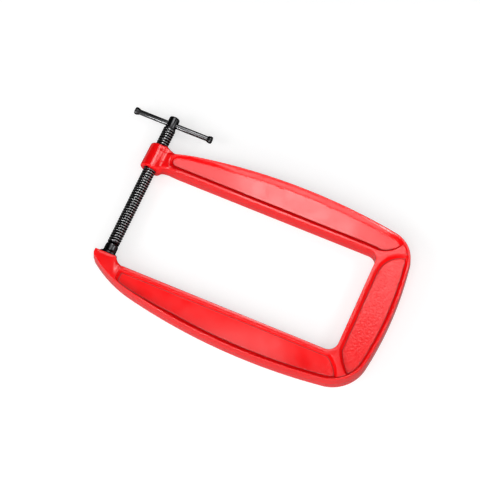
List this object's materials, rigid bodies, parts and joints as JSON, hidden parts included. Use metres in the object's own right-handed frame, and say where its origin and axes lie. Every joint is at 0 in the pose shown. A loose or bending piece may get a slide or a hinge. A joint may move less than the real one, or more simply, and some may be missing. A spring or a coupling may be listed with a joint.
{
  "type": "g-clamp",
  "caption": "Deep-throat g-clamp: a pocketed cast C-frame with an anvil and boss, a screw with a sliding cross bar, and a swivel pad.",
  "frame": {"origin": "centre of the anvil's face on the screw's axis, in the middle of the frame's thickness", "axes": "+X from the screw's axis to the spine, +Y along the screw from the anvil towards the cross bar, +Z normal to the flat frame, which lies on its side"},
  "size_m": [0.244, 0.156, 0.0164],
  "materials": {
    "red_enamel": "glossy red enamel on a casting",
    "black_steel": "oiled black oxide"
  },
  "bodies": {
    "frame": {"frame": "red_enamel"},
    "pad": {"swivel_pad": "black_steel"},
    "screw": {"screw": "black_steel"},
    "bar": {"cross_bar": "black_steel", "cap_left": "black_steel", "cap_right": "black_steel"}
  },
  "joints": [
    {"name": "pad_lift", "type": "slide", "parent": "frame", "child": "pad", "axis": [0, 1, 0], "range_m": [0, 0.06625]},
    {"name": "screw_turn", "type": "hinge", "parent": "pad", "child": "screw", "pos_m": [0, 0.0056, 0], "axis": [0, 1, 0], "range_deg": [0, 11340]},
    {"name": "bar_slide", "type": "slide", "parent": "screw", "child": "bar", "axis": [1, 0, 0], "range_m": [-0.0251, 0.0227]}
  ],
  "couplings": [
    {"joint": "screw_turn", "follows": "pad_lift", "rad_per_m": 2963.8}
  ]
}
